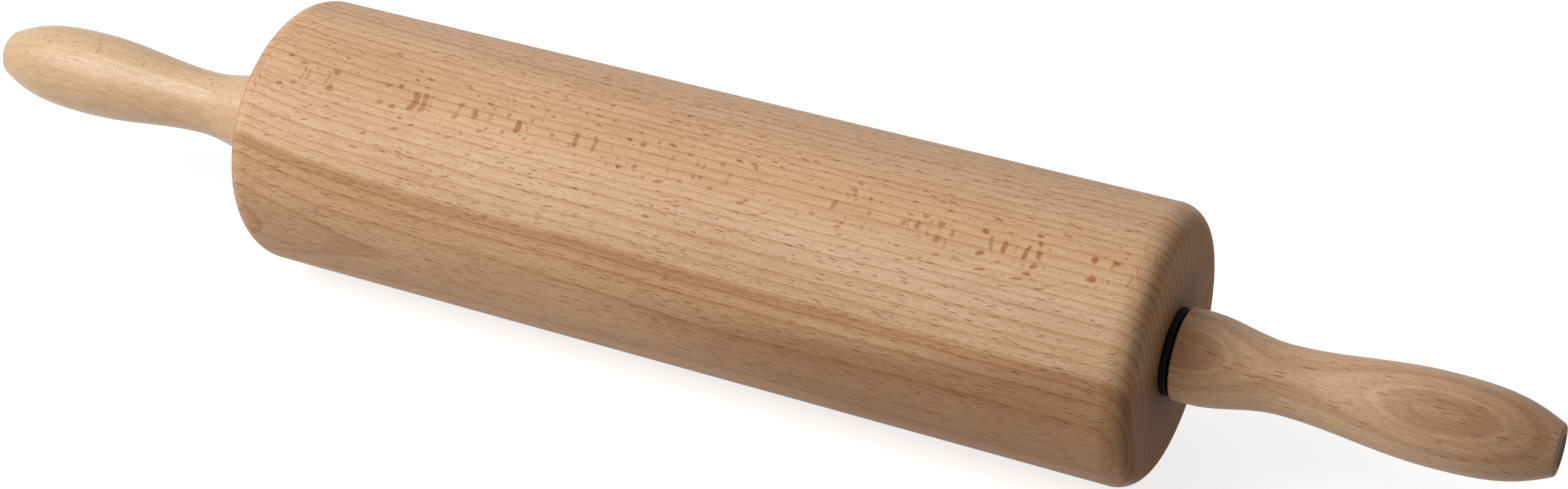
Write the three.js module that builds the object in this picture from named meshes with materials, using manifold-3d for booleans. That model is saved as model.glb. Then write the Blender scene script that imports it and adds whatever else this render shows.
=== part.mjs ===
// A turned beech rolling pin whose roller spins on two ball bearings while the handles stay still.
// Millimetres, +Z up, the pin lying along X with the roller resting on Z = 0.
import * as THREE from "three";
import { mergeVertices } from "three/addons/utils/BufferGeometryUtils.js";
import Module from "manifold-3d";

const wasm = await Module();
wasm.setup();

// Roller
const ROLLER_LENGTH = 250;
const ROLLER_RADIUS = 35.5;
const EDGE_ARC_RADIUS = 6.8; // the arc that rounds each end of the roller
const EDGE_DROP = 5.6; // how far the arc comes in before the flat end face cuts it off
const BORE_CLEARANCE = 2; // around the axle, all the way through the roller

// Clearances
const FIT = 0.05; // between pieces that are pressed or seated together
const RUNNING = 0.3; // between pieces that turn past each other
const BALL_PLAY = 0.1; // between a ball and its races

// Ball bearing
const BEARING_BORE_RADIUS = 4;
const BEARING_OUTER_RADIUS = 8;
const BEARING_WIDTH = 5;
const BALL_RADIUS = 1.25;
const BALL_COUNT = 8;
const GROOVE_DEPTH = 0.55; // of each race's ball groove
const CAGE_RIM = 0.5; // brass left beside each ball pocket

// Bearing cup, the black flanged ring in each end of the roller
const CUP_WALL = 2;
const CUP_LIP = 1.5; // floor that the outer race sits on
const CUP_LIP_WIDTH = 1.6;
const FLANGE_OVERHANG = 1; // how far the flange reaches past its seat in the roller
const FLANGE_THICKNESS = 1.8;
const BEARING_SINK = 1; // from the roller's end face down to the bearing

// Axle
const AXLE_SHOULDER = 1; // how much thicker it is between the bearings, to stop the inner races
const AXLE_CHAMFER = 0.6;
const TAPPED_SPARE = 3; // threaded hole left beyond the screw's tip
const SLEEVE_WALL = 1;

// Handle, measured along X from its base
const HANDLE_CLEARANCE = 0.6; // from the cup's flange to the handle's base
const HANDLE_LENGTH = 91.6;
const BASE_RADIUS = 11.6;
const BASE_STRAIGHT = 4;
const NECK_RADIUS = 8.58;
const NECK_FROM_BASE = 26;
const BELLY_RADIUS = 11.52;
const BELLY_FROM_END = 28;
const END_RIM = 2.45; // wood around the plug at the handle's end
const BASE_EASE = 8; // how far each curve keeps the slope that it starts or ends with
const NECK_EASE_IN = 8;
const NECK_EASE_OUT = 13;
const BELLY_EASE = 14;
const TIP_EASE = 7.6;
const TIP_RISE = 3.6; // the curve's fall over the tip's ease
const BASE_ROUND = 0.7;
const TIP_ROUND = 0.9;
const HANDLE_WEB = 8; // wood between the axle's bore and the plug's bore, which the screw clamps
const PLUG_BORE_SPARE = 17; // empty bore between the screw's head and the plug

// Screw, washer and plug that fasten each handle
const SCREW_RADIUS = 2;
const SCREW_LENGTH = 20;
const SCREW_CHAMFER = 0.5;
const SCREW_HEAD_RADIUS = 3.5;
const SCREW_HEAD_HEIGHT = 4;
const HEX_ACROSS_FLATS = 3;
const HEX_DEPTH = 2;
const WASHER_RADIUS = 3.8;
const WASHER_THICKNESS = 0.8;
const PLUG_RADIUS = 4.1;
const PLUG_LENGTH = 6;
const PLUG_WALL = 0.9;
const PLUG_CAP = 1.2;
const PLUG_DOME = 0.35; // height of the plug's rounded face
const PLUG_SINK = 0.5; // from the handle's end down to the plug's edge

// How finely round pieces are faceted, each a multiple of four so that a facet faces straight down
const ROLLER_FACETS = 60;
const HANDLE_FACETS = 32;
const BEARING_FACETS = 28;
const SMALL_FACETS = 20;
const BALL_RINGS = 6;
const ARC_STEPS = 5;
const GROOVE_STEPS = 4;
const CURVE_STEPS = 6;
const ROUND_STEPS = 2;

// Looks
const rollerBeech = { color: 0xc79a72, roughness: 0.62, metalness: 0 };
const leftBeech = { color: 0xcfa67a, roughness: 0.58, metalness: 0 };
const rightBeech = { color: 0xb98858, roughness: 0.58, metalness: 0 };
const blackNylon = { color: 0x141312, roughness: 0.4, metalness: 0 };
const steel = { color: 0xb4b6b8, roughness: 0.28, metalness: 1 };
const bearingSteel = { color: 0xc8cacc, roughness: 0.16, metalness: 1 };
const brass = { color: 0xb5954e, roughness: 0.35, metalness: 1 };

const point = (along, radius) => new THREE.Vector2(along, radius);

// Points of an outline on a circle's arc, its angles measured from the X direction.
function arc(along, radius, size, from, to, steps) {
  return Array.from({ length: steps + 1 }, (_, i) => {
    const angle = from + ((to - from) * i) / steps;
    return point(along + size * Math.cos(angle), radius + size * Math.sin(angle));
  });
}

// A solid turned about X from an outline of (along X, radius) points. The outline of a ring is closed here,
// and any other outline starts and ends on the axis.
function turned(outline, facets) {
  const profile = outline.map((p) => new THREE.Vector2(p.y, p.x));
  if (THREE.ShapeUtils.area(profile) < 0) profile.reverse();
  if (profile[0].x > 0) profile.push(profile[0].clone());
  const geometry = new THREE.LatheGeometry(profile, facets, Math.PI / facets);
  return geometry.rotateZ(-Math.PI / 2);
}

// Booleans: a geometry as a solid, and a solid as a geometry.
function solidFrom(geometry) {
  const bare = geometry.clone();
  bare.deleteAttribute("normal");
  bare.deleteAttribute("uv");
  const merged = mergeVertices(bare, 1e-4);
  const mesh = new wasm.Mesh({
    numProp: 3,
    vertProperties: new Float32Array(merged.attributes.position.array),
    triVerts: new Uint32Array(merged.index.array),
  });
  return new wasm.Manifold(mesh);
}

function geometryFrom(solid) {
  const mesh = solid.getMesh();
  const geometry = new THREE.BufferGeometry();
  geometry.setAttribute("position", new THREE.BufferAttribute(mesh.vertProperties, 3));
  geometry.setIndex(new THREE.BufferAttribute(mesh.triVerts, 1));
  geometry.computeVertexNormals();
  return geometry;
}

function piece(name, geometry, look, along = 0) {
  const mesh = new THREE.Mesh(geometry, new THREE.MeshStandardMaterial(look));
  mesh.name = name;
  mesh.position.x = along;
  return mesh;
}

// Sizes that follow from the ones above
const axleRadius = BEARING_BORE_RADIUS - FIT;
const axleBodyRadius = axleRadius + AXLE_SHOULDER;
const pitchRadius = (BEARING_BORE_RADIUS + BEARING_OUTER_RADIUS) / 2; // circle that the ball centres run on
const grooveRadius = BALL_RADIUS + BALL_PLAY;
const innerShoulderRadius = pitchRadius - grooveRadius + GROOVE_DEPTH;
const outerShoulderRadius = pitchRadius + grooveRadius - GROOVE_DEPTH;
const cupPocketRadius = BEARING_OUTER_RADIUS + FIT;
const cupRadius = cupPocketRadius + CUP_WALL;
const plugBoreRadius = PLUG_RADIUS + FIT;
const handleEndRadius = plugBoreRadius + END_RIM;

// Places along X, from the roller's end face outwards
const bearingOuterFace = -BEARING_SINK;
const bearingInnerFace = bearingOuterFace - BEARING_WIDTH;
const bearingMiddle = bearingOuterFace - BEARING_WIDTH / 2;
const cupFloor = bearingInnerFace - FIT;
const cupInnerEnd = cupFloor - CUP_LIP;
const axleShoulder = bearingInnerFace - FIT;
const handleBase = FLANGE_THICKNESS + HANDLE_CLEARANCE;
const handleEnd = handleBase + HANDLE_LENGTH;
const plugEdge = handleEnd - PLUG_SINK;
const screwSeat = plugEdge - PLUG_LENGTH - PLUG_BORE_SPARE - SCREW_HEAD_HEIGHT;
const washerSeat = screwSeat - FIT - WASHER_THICKNESS;
const webOuter = washerSeat - FIT;
const webInner = webOuter - HANDLE_WEB;
const axleEnd = webInner - FIT;
const tappedEnd = screwSeat - SCREW_LENGTH - TAPPED_SPARE;

// Roller: a beech cylinder with rounded ends, a through bore and a seat for a bearing cup in each end.
function rollerGeometry() {
  const half = ROLLER_LENGTH / 2;
  const seatRadius = cupRadius + FIT;
  const seatFloor = half + cupInnerEnd - FIT;
  const arcCentre = ROLLER_RADIUS - EDGE_ARC_RADIUS;
  const arcEnd = Math.asin((EDGE_ARC_RADIUS - EDGE_DROP) / EDGE_ARC_RADIUS);
  const arcSetback = EDGE_ARC_RADIUS * Math.cos(arcEnd);
  const rightArc = arc(half - arcSetback, arcCentre, EDGE_ARC_RADIUS, arcEnd, Math.PI / 2, ARC_STEPS);
  const rightHalf = [
    point(seatFloor, axleBodyRadius + BORE_CLEARANCE),
    point(seatFloor, seatRadius),
    point(half, seatRadius),
    ...rightArc,
  ];
  const leftHalf = rightHalf.map((p) => point(-p.x, p.y)).reverse();
  return turned([...rightHalf, ...leftHalf], ROLLER_FACETS);
}

// Axle: one steel bar, thick between the bearings, with a threaded hole in each end for a handle's screw.
function axleGeometry() {
  const half = ROLLER_LENGTH / 2;
  const holeRadius = SCREW_RADIUS + FIT;
  const rightHalf = [
    point(half + axleShoulder, axleBodyRadius),
    point(half + axleShoulder, axleRadius),
    point(half + axleEnd - AXLE_CHAMFER, axleRadius),
    point(half + axleEnd, axleRadius - AXLE_CHAMFER),
    point(half + axleEnd, holeRadius),
    point(half + tappedEnd, holeRadius),
    point(half + tappedEnd - holeRadius, 0),
  ];
  const leftHalf = rightHalf.map((p) => point(-p.x, p.y)).reverse();
  return turned([...leftHalf, ...rightHalf], SMALL_FACETS);
}

// Handle: turned from one piece of beech, with a bore for the axle, a web for the screw and a bore for the
// plug. X = 0 at its base.
function handleGeometry() {
  const boreRadius = axleRadius + FIT;
  const bellyAt = HANDLE_LENGTH - BELLY_FROM_END;
  const neckCurve = new THREE.CubicBezierCurve(
    point(BASE_STRAIGHT, BASE_RADIUS),
    point(BASE_STRAIGHT + BASE_EASE, BASE_RADIUS),
    point(NECK_FROM_BASE - NECK_EASE_IN, NECK_RADIUS),
    point(NECK_FROM_BASE, NECK_RADIUS),
  );
  const swellCurve = new THREE.CubicBezierCurve(
    point(NECK_FROM_BASE, NECK_RADIUS),
    point(NECK_FROM_BASE + NECK_EASE_OUT, NECK_RADIUS),
    point(bellyAt - BELLY_EASE, BELLY_RADIUS),
    point(bellyAt, BELLY_RADIUS),
  );
  const tipCurve = new THREE.CubicBezierCurve(
    point(bellyAt, BELLY_RADIUS),
    point(bellyAt + BELLY_EASE, BELLY_RADIUS),
    point(HANDLE_LENGTH - TIP_ROUND - TIP_EASE, handleEndRadius + TIP_RISE),
    point(HANDLE_LENGTH - TIP_ROUND, handleEndRadius),
  );
  const baseRound = arc(BASE_ROUND, BASE_RADIUS - BASE_ROUND, BASE_ROUND, Math.PI, Math.PI / 2, ROUND_STEPS);
  const tipRound = new THREE.QuadraticBezierCurve(
    point(HANDLE_LENGTH - TIP_ROUND, handleEndRadius),
    point(HANDLE_LENGTH, handleEndRadius - (TIP_ROUND * TIP_RISE) / TIP_EASE),
    point(HANDLE_LENGTH, handleEndRadius - 1.5 * TIP_ROUND),
  );
  const screwHole = SCREW_RADIUS + RUNNING;
  const outline = [
    point(0, boreRadius),
    ...baseRound,
    ...neckCurve.getPoints(CURVE_STEPS),
    ...swellCurve.getPoints(CURVE_STEPS).slice(1),
    ...tipCurve.getPoints(CURVE_STEPS).slice(1),
    ...tipRound.getPoints(ROUND_STEPS).slice(1),
    point(HANDLE_LENGTH, plugBoreRadius),
    point(webOuter - handleBase, plugBoreRadius),
    point(webOuter - handleBase, screwHole),
    point(webInner - handleBase, screwHole),
    point(webInner - handleBase, boreRadius),
  ];
  return turned(outline, HANDLE_FACETS);
}

// Bearing cup: a black nylon ring pressed into the roller, with a flange that covers the edge of its seat.
function cupGeometry() {
  const lipRadius = cupPocketRadius - CUP_LIP_WIDTH;
  const flangeRadius = cupRadius + FLANGE_OVERHANG;
  const outline = [
    point(cupInnerEnd, lipRadius),
    point(cupInnerEnd, cupRadius),
    point(FIT, cupRadius),
    point(FIT, flangeRadius),
    point(FLANGE_THICKNESS, flangeRadius),
    point(FLANGE_THICKNESS, cupPocketRadius),
    point(cupFloor, cupPocketRadius),
    point(cupFloor, lipRadius),
  ];
  return turned(outline, BEARING_FACETS);
}

// A race's ball groove: an arc about the pitch circle, met by the race's shoulder on both sides.
function groove(side) {
  const reach = Math.acos((grooveRadius - GROOVE_DEPTH) / grooveRadius);
  const middle = (side * Math.PI) / 2;
  return arc(0, pitchRadius, grooveRadius, middle - reach, middle + reach, GROOVE_STEPS);
}

// Races: two steel rings, centred on the bearing's middle.
function outerRaceGeometry() {
  const half = BEARING_WIDTH / 2;
  const outline = [
    point(half, outerShoulderRadius),
    ...groove(1),
    point(-half, outerShoulderRadius),
    point(-half, BEARING_OUTER_RADIUS),
    point(half, BEARING_OUTER_RADIUS),
  ];
  return turned(outline, BEARING_FACETS);
}

function innerRaceGeometry() {
  const half = BEARING_WIDTH / 2;
  const outline = [
    point(-half, innerShoulderRadius),
    ...groove(-1),
    point(half, innerShoulderRadius),
    point(half, BEARING_BORE_RADIUS),
    point(-half, BEARING_BORE_RADIUS),
  ];
  return turned(outline, BEARING_FACETS);
}

// Cage: a brass ring between the races, with a round pocket for each ball.
function cageGeometry() {
  const pocketRadius = BALL_RADIUS + 2 * BALL_PLAY;
  const half = pocketRadius + CAGE_RIM;
  const inside = innerShoulderRadius + RUNNING;
  const outside = outerShoulderRadius - RUNNING;
  const ring = turned(
    [point(-half, inside), point(half, inside), point(half, outside), point(-half, outside)],
    BEARING_FACETS,
  );
  let cage = solidFrom(ring);
  for (let i = 0; i < BALL_COUNT; i += 1) {
    const pocket = new THREE.CylinderGeometry(pocketRadius, pocketRadius, pitchRadius, SMALL_FACETS / 2);
    pocket.translate(0, pitchRadius, 0);
    pocket.rotateX((2 * Math.PI * i) / BALL_COUNT);
    cage = cage.subtract(solidFrom(pocket));
  }
  return geometryFrom(cage);
}

function ballGeometry() {
  return new THREE.SphereGeometry(BALL_RADIUS, SMALL_FACETS / 2, BALL_RINGS);
}

// Spacer sleeve: carries the handle's clamping force to the inner race and keeps the handle off the flange.
function sleeveGeometry() {
  const from = bearingOuterFace + FIT;
  const to = handleBase - FIT;
  const inside = axleRadius + FIT;
  const outside = inside + SLEEVE_WALL;
  return turned(
    [point(from, inside), point(to, inside), point(to, outside), point(from, outside)],
    SMALL_FACETS,
  );
}

// Socket-head screw, its head's underside at X = 0 and its shank towards -X.
function screwGeometry() {
  const outline = [
    point(-SCREW_LENGTH, 0),
    point(-SCREW_LENGTH, SCREW_RADIUS - SCREW_CHAMFER),
    point(-SCREW_LENGTH + SCREW_CHAMFER, SCREW_RADIUS),
    point(0, SCREW_RADIUS),
    point(0, SCREW_HEAD_RADIUS),
    point(SCREW_HEAD_HEIGHT, SCREW_HEAD_RADIUS),
    point(SCREW_HEAD_HEIGHT, 0),
  ];
  const body = turned(outline, SMALL_FACETS);
  const hexRadius = HEX_ACROSS_FLATS / Math.sqrt(3);
  const socket = new THREE.CylinderGeometry(hexRadius, hexRadius, 2 * HEX_DEPTH, 6);
  socket.rotateZ(-Math.PI / 2);
  socket.translate(SCREW_HEAD_HEIGHT, 0, 0);
  return geometryFrom(solidFrom(body).subtract(solidFrom(socket)));
}

function washerGeometry() {
  const inside = SCREW_RADIUS + RUNNING;
  const to = WASHER_THICKNESS;
  return turned(
    [point(0, inside), point(to, inside), point(to, WASHER_RADIUS), point(0, WASHER_RADIUS)],
    SMALL_FACETS,
  );
}

// End plug: a black cup pushed into the handle's end, with a slightly domed face. X = 0 at that face's edge.
function plugGeometry() {
  const domeRadius = (PLUG_RADIUS ** 2 + PLUG_DOME ** 2) / (2 * PLUG_DOME);
  const reach = Math.asin(PLUG_RADIUS / domeRadius);
  const dome = arc(PLUG_DOME - domeRadius, 0, domeRadius, reach, 0, ROUND_STEPS);
  dome[dome.length - 1].y = 0;
  const outline = [
    point(-PLUG_CAP, 0),
    point(-PLUG_CAP, PLUG_RADIUS - PLUG_WALL),
    point(-PLUG_LENGTH, PLUG_RADIUS - PLUG_WALL),
    point(-PLUG_LENGTH, PLUG_RADIUS),
    ...dome,
  ];
  return turned(outline, SMALL_FACETS);
}

// Everything that belongs to one end of the pin, with X = 0 at the roller's end face and +X outwards.
function endAssembly(side, handleLook) {
  const end = new THREE.Group();
  end.add(
    piece(`bearing_cup_${side}`, cupGeometry(), blackNylon),
    piece(`outer_race_${side}`, outerRaceGeometry(), bearingSteel, bearingMiddle),
    piece(`inner_race_${side}`, innerRaceGeometry(), bearingSteel, bearingMiddle),
    piece(`ball_cage_${side}`, cageGeometry(), brass, bearingMiddle),
    piece(`spacer_sleeve_${side}`, sleeveGeometry(), steel),
    piece(`handle_${side}`, handleGeometry(), handleLook, handleBase),
    piece(`screw_washer_${side}`, washerGeometry(), steel, washerSeat),
    piece(`handle_screw_${side}`, screwGeometry(), steel, screwSeat),
    piece(`end_plug_${side}`, plugGeometry(), blackNylon, plugEdge),
  );
  for (let i = 0; i < BALL_COUNT; i += 1) {
    const angle = (2 * Math.PI * i) / BALL_COUNT;
    const ball = piece(`ball_${side}_${i + 1}`, ballGeometry(), bearingSteel, bearingMiddle);
    ball.position.y = pitchRadius * Math.cos(angle);
    ball.position.z = pitchRadius * Math.sin(angle);
    end.add(ball);
  }
  return end;
}

const rollingPin = new THREE.Group();
rollingPin.position.z = ROLLER_RADIUS * Math.cos(Math.PI / ROLLER_FACETS);

const rightEnd = endAssembly("right", rightBeech);
rightEnd.position.x = ROLLER_LENGTH / 2;
const leftEnd = endAssembly("left", leftBeech);
leftEnd.position.x = -ROLLER_LENGTH / 2;
leftEnd.rotation.z = Math.PI;

rollingPin.add(
  piece("roller", rollerGeometry(), rollerBeech),
  piece("axle", axleGeometry(), steel),
  rightEnd,
  leftEnd,
);

const part = new THREE.Group();
part.add(rollingPin);

export default part;
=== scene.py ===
# %% [markdown]
# # A beech rolling pin
# The pin is a thick beech roller that spins on two small ball bearings, with a waisted handle fixed to each
# end of a steel axle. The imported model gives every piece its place. Here each piece is drawn again as a fine
# surface, and gets the finish of the real one: sanded beech, black nylon, turned steel and brass.

# %% Load the frame
import bmesh
import bpy
import numpy as np
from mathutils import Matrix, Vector


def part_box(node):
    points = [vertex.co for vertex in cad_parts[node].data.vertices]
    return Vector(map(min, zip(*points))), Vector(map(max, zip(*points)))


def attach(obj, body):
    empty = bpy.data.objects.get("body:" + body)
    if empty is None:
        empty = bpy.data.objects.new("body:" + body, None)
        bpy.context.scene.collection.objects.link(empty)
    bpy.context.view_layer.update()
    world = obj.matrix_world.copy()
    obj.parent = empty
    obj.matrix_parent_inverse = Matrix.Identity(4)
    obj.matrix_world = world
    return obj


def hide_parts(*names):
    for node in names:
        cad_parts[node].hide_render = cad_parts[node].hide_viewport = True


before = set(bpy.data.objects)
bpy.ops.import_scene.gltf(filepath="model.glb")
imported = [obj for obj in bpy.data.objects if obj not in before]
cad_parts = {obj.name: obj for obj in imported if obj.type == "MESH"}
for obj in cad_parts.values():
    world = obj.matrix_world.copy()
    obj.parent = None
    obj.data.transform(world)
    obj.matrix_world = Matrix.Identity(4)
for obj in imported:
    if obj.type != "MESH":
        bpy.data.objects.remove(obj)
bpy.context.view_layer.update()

# %% [markdown]
# ## Where the camera stands
# The photograph looks down at the pin from the front right, with the right handle nearest. A camera could be
# moved about by eye until the picture fits. This one was fitted to the outline of the pin, which gives its
# place, its direction and its focal length together, so it repeats the photograph's perspective.

# %% Camera
MM = 0.001  # the pin's lengths are given in millimetres, and Blender works in metres
ROLLER_RADIUS = 35.5
ROLLER_FACETS = 60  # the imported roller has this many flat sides, and rests on one of them
AXLE_HEIGHT = ROLLER_RADIUS * np.cos(np.pi / ROLLER_FACETS) * MM
CAMERA_FROM_AXLE = (300.05, -585.5, 416.4)
CAMERA_LOOKS = (-0.3625, 0.7607, -0.5386)
SENSOR_WIDTH = 36
FOCAL_LENGTH = 69.8
camera_data = bpy.data.cameras.new("photo_camera")
camera_data.sensor_width = SENSOR_WIDTH
camera_data.lens = FOCAL_LENGTH
camera = bpy.data.objects.new("photo_camera", camera_data)
bpy.context.collection.objects.link(camera)
camera.location = Vector(CAMERA_FROM_AXLE) * MM + Vector((0, 0, AXLE_HEIGHT))
camera.rotation_euler = Vector(CAMERA_LOOKS).to_track_quat("-Z", "Y").to_euler()
bpy.context.scene.camera = camera
print("camera at", [round(c, 4) for c in camera.location])

# %% [markdown]
# ## Surfaces from arrays
# Nearly everything on the pin is turned, so most pieces are one outline carried round the axle. A Screw
# modifier could do that, but a grid of points worked out as one array also takes threads and flats.
# Neighbouring points become four-sided faces, and points that fall together at a pole or a seam are merged,
# so every piece is closed.

# %% A mesh from a grid of points
CREASE = np.radians(28)  # edges sharper than this stay crisp
MERGE_WITHIN = 1e-7  # in metres


def mesh_from_grid(name, grid):
    """A closed mesh from an array of points (rows, columns, xyz). Row i joins row i + 1 and the last row
    joins the first, and so do the columns. Rows that lie on one point, or on the row before, close up."""
    rows, columns = grid.shape[:2]
    index = np.arange(rows * columns).reshape(rows, columns)
    below = np.roll(index, -1, axis=0)
    quads = np.stack([index, np.roll(index, -1, axis=1), np.roll(below, -1, axis=1), below], axis=-1)
    mesh = bpy.data.meshes.new(name)
    mesh.from_pydata(grid.reshape(-1, 3).tolist(), [], quads.reshape(-1, 4).tolist())
    work = bmesh.new()
    work.from_mesh(mesh)
    bmesh.ops.remove_doubles(work, verts=work.verts, dist=MERGE_WITHIN)
    bmesh.ops.delete(work, geom=[edge for edge in work.edges if edge.is_wire], context="EDGES")
    bmesh.ops.recalc_face_normals(work, faces=work.faces)
    open_edges = sum(not edge.is_manifold for edge in work.edges)
    work.to_mesh(mesh)
    work.free()
    mesh.polygons.foreach_set("use_smooth", np.ones(len(mesh.polygons), dtype=bool))
    mesh.set_sharp_from_angle(angle=CREASE)
    piece = bpy.data.objects.new(name, mesh)
    bpy.context.collection.objects.link(piece)
    print(f"{name}: {len(mesh.polygons)} faces, {open_edges} open edges")
    return piece


print("edges stay crisp above", round(np.degrees(CREASE)), "degrees")

# %% Outlines, and turning them
SIDES = {"left": -1, "right": 1}


def revolve(outline, columns, radius_of=None):
    """An outline is a list of (x along the axle, radius r). Point (i, j) is at x_i and r_i, turned by
    2 pi j / columns about the axle. radius_of(x, r, angle) may change r, as for a thread or a socket."""
    x, r = np.asarray(outline, dtype=float).T
    angle = np.arange(columns) * 2 * np.pi / columns
    along = np.repeat(x[:, None], columns, axis=1)
    radius = np.repeat(r[:, None], columns, axis=1)
    if radius_of is not None:
        radius = radius_of(along, radius, angle[None, :])
    return np.stack([along, radius * np.cos(angle), radius * np.sin(angle)], axis=-1)


def place(grid, side=1, along=0.0):
    """Millimetres to metres on the axle's line. The left end is the right one turned half round, so x and y
    change sign there."""
    moved = grid + np.array([along, 0.0, 0.0])
    return moved * np.array([side, side, 1.0]) * MM + np.array([0.0, 0.0, AXLE_HEIGHT])


def pair(name, grid, along=0.0):
    """The same piece at the left and at the right end. The {} in its name takes the side."""
    return {side: mesh_from_grid(name.format(side), place(grid, sign, along))
            for side, sign in SIDES.items()}


def arc(x, r, size, start, end, count):
    """Points of a circle about (x, r), from the start to the end angle, in degrees from the axle's line."""
    turn = np.radians(np.linspace(start, end, count))
    return np.stack([x + size * np.cos(turn), r + size * np.sin(turn)], axis=-1)


def bezier(points, count):
    """A cubic curve: each of its four points weighted by (1-t)^3, 3t(1-t)^2, 3t^2(1-t) and t^3."""
    t = np.linspace(0, 1, count)[:, None]
    a, b, c, d = np.asarray(points, dtype=float)
    return a * (1 - t) ** 3 + b * 3 * t * (1 - t) ** 2 + c * 3 * t**2 * (1 - t) + d * t**3


def straight(start, end, count):
    """Evenly spaced points from the start to the end, both included."""
    return np.linspace(start, end, count)


def outline_of(*stretches):
    """Stretches of an outline, one after the other."""
    return np.concatenate([np.atleast_2d(np.asarray(s, dtype=float)) for s in stretches])


def both_ends(half):
    """The right half of an outline, followed by its mirror image at the left end."""
    return outline_of(half, (half * np.array([-1, 1]))[::-1][1:])


print("pieces come in pairs:", list(SIDES))

# %% [markdown]
# ## The roller
# The roller is turned from one block. Its ends are rounded by an arc that the flat end face cuts off a little
# early, which leaves the soft crease that shows round the right end. Inside it has a through bore and, at
# each end, a seat for a bearing cup. A plain cylinder with a bevel would lose that crease, so the whole
# section is drawn as one outline.

# %% Roller surface
ROLLER_HALF = 125.0
EDGE_ARC = 6.8
EDGE_DROP = 5.6  # how far the end face's rim lies below the roller's side
ROLLER_BORE = 6.95
SEAT_RADIUS = 10.1
SEAT_FLOOR = 117.4
ROLLER_COLUMNS = 240
crease_angle = np.degrees(np.arcsin((EDGE_ARC - EDGE_DROP) / EDGE_ARC))
edge_start = ROLLER_HALF - EDGE_ARC * np.cos(np.radians(crease_angle))
edge_arc = arc(edge_start, ROLLER_RADIUS - EDGE_ARC, EDGE_ARC, crease_angle, 90, count=28)
end_face = straight((ROLLER_HALF, SEAT_RADIUS), (ROLLER_HALF, edge_arc[0, 1]), count=9)[:-1]
barrel = straight((edge_start, ROLLER_RADIUS), (0, ROLLER_RADIUS), count=12)[1:]
cup_seat = [[SEAT_FLOOR, ROLLER_BORE], [SEAT_FLOOR, SEAT_RADIUS]]
roller_outline = both_ends(outline_of(cup_seat, end_face, edge_arc, barrel))
roller = mesh_from_grid("roller_beech", place(revolve(roller_outline, ROLLER_COLUMNS)))

# %% [markdown]
# ## The handles
# Each handle is turned too: a short straight base, a waist, a round belly and a flat end. It could be
# stretched from a sphere and a cylinder, but three cubic curves follow the outline that the photograph shows,
# and small arcs soften the base and the end. The two middle points of a curve say how it leaves its ends. The
# bores for the axle, the screw and the plug are part of the same closed outline.

# %% Handle surfaces
HANDLE_BASE = 127.4
HANDLE_LENGTH = 91.6
BASE_RADIUS = 11.6
BASE_ROUND = 0.7
BASE_FACE = 7.5  # a ring that divides the base's flat face
BASE_STRAIGHT = 4  # this and the next places are measured from the handle's base
NECK_AT = 26
NECK_RADIUS = 8.58
BELLY_AT = 63.6
BELLY_RADIUS = 11.52
TIP_AT = 90.7
TIP_RADIUS = 6.6
TIP_FACE = 5.25
AXLE_BORE = 4.0
SCREW_HOLE = 2.3
PLUG_BORE = 4.15
WEB_START = 55.2  # the wood that the screw clamps
WEB_END = 63.2
HANDLE_COLUMNS = 128
base_face = [[0, AXLE_BORE], [0, BASE_FACE]]
base_round = arc(BASE_ROUND, BASE_RADIUS - BASE_ROUND, BASE_ROUND, 180, 90, count=9)
base_edge, neck = [BASE_STRAIGHT, BASE_RADIUS], [NECK_AT, NECK_RADIUS]
belly, tip_edge = [BELLY_AT, BELLY_RADIUS], [TIP_AT, TIP_RADIUS]
waist = bezier([base_edge, [12, BASE_RADIUS], [18, NECK_RADIUS], neck], count=26)
swell = bezier([neck, [39, NECK_RADIUS], [49.6, BELLY_RADIUS], belly], count=30)[1:]
tip = bezier([belly, [77.6, BELLY_RADIUS], [83.1, 10.2], tip_edge], count=30)[1:]
tip_round = bezier([tip_edge, [91.4, 6.27], [HANDLE_LENGTH, 6.0], [HANDLE_LENGTH, TIP_FACE]], count=9)[1:]
handle_bores = [[HANDLE_LENGTH, PLUG_BORE], [WEB_END, PLUG_BORE], [WEB_END, SCREW_HOLE],
                [WEB_START, SCREW_HOLE], [WEB_START, AXLE_BORE]]
handle_outline = outline_of(base_face, base_round, waist, swell, tip, tip_round, handle_bores)
handles = pair("handle_{}_beech", revolve(handle_outline, HANDLE_COLUMNS), HANDLE_BASE)

# %% [markdown]
# ## Bearing cups and end plugs
# The black ring beside the roller is the flange of a nylon cup that is pressed into the wood; its near-black
# tone is partly painted shade, as the flange also stands for the shadowed gap between roller and handle. The
# dark disc in a handle's end is a push-in plug. Both are moulded, so their edges are slightly rounded. A
# Bevel modifier could round them all alike, but moulded corners differ, so each has its own arc. Places are
# measured from the roller's end face for the cup, and from just inside the handle's end for the plug.

# %% Cup surfaces
CUP_BACK = -7.55
CUP_FLOOR = -6.05
CUP_LIP = 6.45  # radius of the hole in the cup's back
CUP_RADIUS = 10.05
CUP_LEAD = 0.3
FLANGE_BACK = 0.05
FLANGE_FRONT = 1.8
FLANGE_RADIUS = 11.05
FLANGE_BACK_ROUND = 0.3
FLANGE_FRONT_ROUND = 0.45
POCKET_RADIUS = 8.05
POCKET_ROUND = 0.2
CUP_COLUMNS = 96
cup_outside = [[CUP_BACK, CUP_LIP], [CUP_BACK, CUP_RADIUS - CUP_LEAD], [CUP_BACK + CUP_LEAD, CUP_RADIUS],
               [FLANGE_BACK, CUP_RADIUS]]
flange_back = arc(FLANGE_BACK + FLANGE_BACK_ROUND, FLANGE_RADIUS - FLANGE_BACK_ROUND, FLANGE_BACK_ROUND,
                  180, 90, count=6)
flange_front = arc(FLANGE_FRONT - FLANGE_FRONT_ROUND, FLANGE_RADIUS - FLANGE_FRONT_ROUND, FLANGE_FRONT_ROUND,
                   90, 0, count=8)
pocket_edge = arc(FLANGE_FRONT - POCKET_ROUND, POCKET_RADIUS + POCKET_ROUND, POCKET_ROUND, 0, -90, count=5)
pocket = [[CUP_FLOOR, POCKET_RADIUS], [CUP_FLOOR, CUP_LIP]]
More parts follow.
